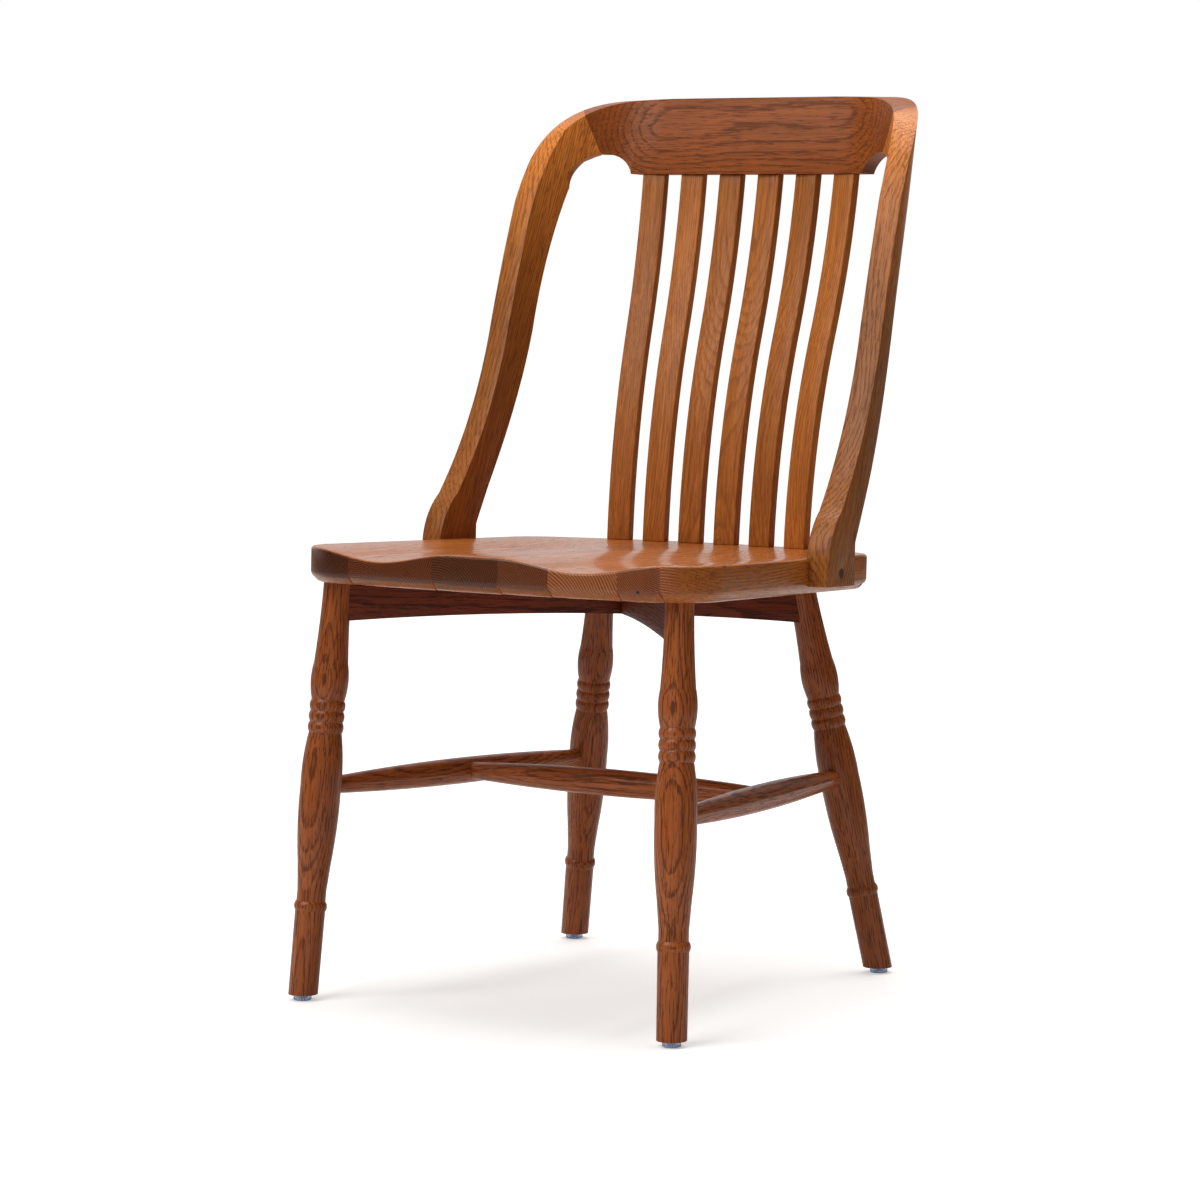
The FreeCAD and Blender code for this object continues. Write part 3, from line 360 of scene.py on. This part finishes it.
def eased(node, width, segments=3, chosen=None, prepare=None):
    """Copy of a node with its sharp outer edges, or the chosen ones among them, rounded over."""
    mesh = nodes[node].data.copy()
    mesh.name = f"{node}_eased"
    shape = bmesh.new()
    shape.from_mesh(mesh)
    bmesh.ops.remove_doubles(shape, verts=shape.verts, dist=2e-6)
    if prepare:
        prepare(shape)
    bmesh.ops.dissolve_limit(
        shape, angle_limit=FLAT, verts=shape.verts, edges=shape.edges, use_dissolve_boundaries=False
    )
    sharp = [edge for edge in shape.edges if edge.is_manifold and edge.calc_face_angle(0.0) > SHARP]
    if chosen:
        sharp = [edge for edge in sharp if chosen(edge)]
        clear_beside(shape, sharp, width * 1.5)
    bmesh.ops.bevel(
        shape, geom=sharp, offset=width, offset_type="OFFSET", segments=segments, profile=0.5,
        affect="EDGES", clamp_overlap=chosen is None
    )
    for face in shape.faces:
        face.smooth = True
    for edge in shape.edges:
        edge.smooth = edge.calc_face_angle(0.0) < SHARP
    shape.to_mesh(mesh)
    shape.free()
    piece = bpy.data.objects.new(f"{node}_piece", mesh)
    scene.collection.objects.link(piece)
    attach(piece, "root")
    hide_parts(node)
    dress(piece, looks[node])
    return piece


def clear_beside(shape, edges, reach):
    """Takes out the loose vertices next to edges, so that these have room to be rounded over."""
    rim = {vert for edge in edges for vert in edge.verts}
    if not rim:
        return
    tree = KDTree(len(rim))
    for number, vert in enumerate(rim):
        tree.insert(vert.co, number)
    tree.balance()
    near = [
        vert for vert in shape.verts
        if vert not in rim and tree.find(vert.co)[2] < reach
        and all(edge.calc_face_angle(0.0) < SHARP for edge in vert.link_edges)
    ]
    bmesh.ops.dissolve_verts(shape, verts=near)


TO_SEAT = SEAT.inverted()
ARCH_CENTRE, ARCH_TOP = 0.1655, 0.4398
MITRE_TILT = math.radians(24)
SEAT_EDGE_ROUND = 0.003


def level_arches(shape):
    """Keeps the rail's two arches level from their highest line out to the mitres."""
    for vert in shape.verts:
        spot = TO_SEAT @ vert.co
        rise = ARCH_TOP - spot.z
        if abs(spot.x) > ARCH_CENTRE and rise > 0:
            spot.x += math.copysign(rise * math.tan(MITRE_TILT), spot.x)
            spot.z = ARCH_TOP
            vert.co = SEAT @ spot


def on_seat_rim(edge):
    """Whether an edge lies between the seat's top and its outer wall, or beside its lower bevel."""
    spot = TO_SEAT @ ((edge.verts[0].co + edge.verts[1].co) / 2)
    normals = [TO_SEAT.to_3x3() @ face.normal for face in edge.link_faces]
    facing = sorted(normals, key=lambda normal: normal.z)
    if spot.z < 0.02:
        return spot.z < 0.009 and any(-0.8 < normal.z < -0.6 for normal in facing)
    if abs(spot.x) < 0.125 and 0.41 < spot.y < 0.4365:
        return False
    return facing[1].z > 0.7 and abs(facing[0].z) < 0.3 and abs(facing[0].x) < 0.9995


for number in range(7):
    eased(f"seat_stave_{number + 1}", SEAT_EDGE_ROUND, 4, on_seat_rim)
for side in side_names.values():
    eased(f"back_post_{side}", 0.0018)
eased("crest_rail", 0.0015, prepare=level_arches)
for number in range(6):
    eased(f"slat_{number + 1}", 0.001)
for letter in ("a", "b"):
    eased(f"seat_brace_{letter}", 0.0012)

for name, node in nodes.items():
    dress(node, looks[name])


# Floor, light and camera.
def build_floor():
    graph = Graph("studio_floor")
    path = graph.node("ShaderNodeLightPath")
    seen = graph.math("MAXIMUM", path.outputs["Is Camera Ray"], path.outputs["Is Transmission Ray"])
    diffuse = graph.node("ShaderNodeBsdfDiffuse", {"Color": (0.86, 0.86, 0.86, 1.0)})
    place = graph.node("ShaderNodeTexCoord").outputs["Object"]
    lift = graph.fade(graph.vector("LENGTH", place), 1.0, 4.0, 0.46, 1.0)
    glow = graph.node("ShaderNodeEmission", {"Strength": graph.math("MULTIPLY", seen, lift)})
    both = graph.node("ShaderNodeAddShader")
    graph.tree.links.new(diffuse.outputs[0], both.inputs[0])
    graph.tree.links.new(glow.outputs[0], both.inputs[1])
    graph.surface(both)
    mesh = bpy.data.meshes.new("floor")
    reach = 40.0
    corners = [(-reach, -reach, 0), (reach, -reach, 0), (reach, reach, 0), (-reach, reach, 0)]
    mesh.from_pydata(corners, [], [(0, 1, 2, 3)])
    floor = bpy.data.objects.new("floor", mesh)
    scene.collection.objects.link(floor)
    dress(floor, graph.material)


def softbox(name, place, target, size, power):
    lamp = bpy.data.lights.new(name, "AREA")
    lamp.shape = "RECTANGLE"
    lamp.size, lamp.size_y = size
    lamp.energy = power
    lamp.color = (1.0, 0.98, 0.95)
    holder = bpy.data.objects.new(name, lamp)
    holder.location = place
    holder.rotation_euler = (Vector(target) - Vector(place)).to_track_quat("-Z", "Y").to_euler()
    holder.visible_camera = False
    scene.collection.objects.link(holder)


def build_world():
    world = bpy.data.worlds.new("studio")
    scene.world = world
    world.use_nodes = True
    tree = world.node_tree
    tree.nodes.clear()
    path = tree.nodes.new("ShaderNodeLightPath")
    place = tree.nodes.new("ShaderNodeTexCoord")
    toward = tree.nodes.new("ShaderNodeVectorMath")
    toward.operation = "DOT_PRODUCT"
    toward.inputs[1].default_value = (-0.8, 0.6, 0.0)
    tree.links.new(place.outputs["Generated"], toward.inputs[0])
    backdrop = tree.nodes.new("ShaderNodeMapRange")
    backdrop.interpolation_type = "SMOOTHSTEP"
    for index, value in enumerate((0.35, 0.85, 0.02, 0.7)):
        backdrop.inputs[index + 1].default_value = value
    tree.links.new(toward.outputs["Value"], backdrop.inputs[0])
    shown = tree.nodes.new("ShaderNodeMath")
    shown.operation = "MAXIMUM"
    tree.links.new(path.outputs["Is Camera Ray"], shown.inputs[0])
    tree.links.new(path.outputs["Is Transmission Ray"], shown.inputs[1])
    glossy = tree.nodes.new("ShaderNodeMath")
    glossy.operation = "MULTIPLY"
    tree.links.new(path.outputs["Is Glossy Ray"], glossy.inputs[0])
    tree.links.new(backdrop.outputs[0], glossy.inputs[1])
    strength = tree.nodes.new("ShaderNodeMath")
    strength.operation = "MAXIMUM"
    tree.links.new(shown.outputs[0], strength.inputs[0])
    tree.links.new(glossy.outputs[0], strength.inputs[1])
    ambient = tree.nodes.new("ShaderNodeMath")
    ambient.operation = "MAXIMUM"
    ambient.inputs[1].default_value = 0.06
    tree.links.new(strength.outputs[0], ambient.inputs[0])
    glow = tree.nodes.new("ShaderNodeBackground")
    glow.inputs["Color"].default_value = (1.0, 1.0, 1.0, 1.0)
    tree.links.new(ambient.outputs[0], glow.inputs["Strength"])
    output = tree.nodes.new("ShaderNodeOutputWorld")
    tree.links.new(glow.outputs[0], output.inputs["Surface"])


def build_camera():
    yaw, pitch, roll = math.radians(32.582), math.radians(5.186), math.radians(0.2)
    ahead = Vector((-math.sin(yaw) * math.cos(pitch), math.cos(yaw) * math.cos(pitch), -math.sin(pitch)))
    level = Vector((math.cos(yaw), math.sin(yaw), 0))
    rise = level.cross(ahead)
    aside = level * math.cos(roll) + rise * math.sin(roll)
    above = rise * math.cos(roll) - level * math.sin(roll)
    camera = bpy.data.objects.new("camera", bpy.data.cameras.new("camera"))
    camera.data.sensor_width = 36.0
    camera.data.lens = 126.0
    turned = Matrix((aside, above, -ahead)).transposed().to_4x4()
    camera.matrix_world = Matrix.Translation((2.239, -3.5538, 0.7695)) @ turned
    scene.collection.objects.link(camera)
    scene.camera = camera


build_floor()
build_world()
build_camera()
softbox("key", (-0.9, -2.6, 3.0), (0, 0, 0.5), (2.4, 2.4), 80)
softbox("top", (-0.1, 0.6, 3.0), (0, 0, 0.4), (2.4, 2.4), 80)
softbox("fill", (2.2, -3.0, 0.9), (0, 0, 0.3), (1.6, 1.6), 4)
scene.view_settings.view_transform = "Standard"
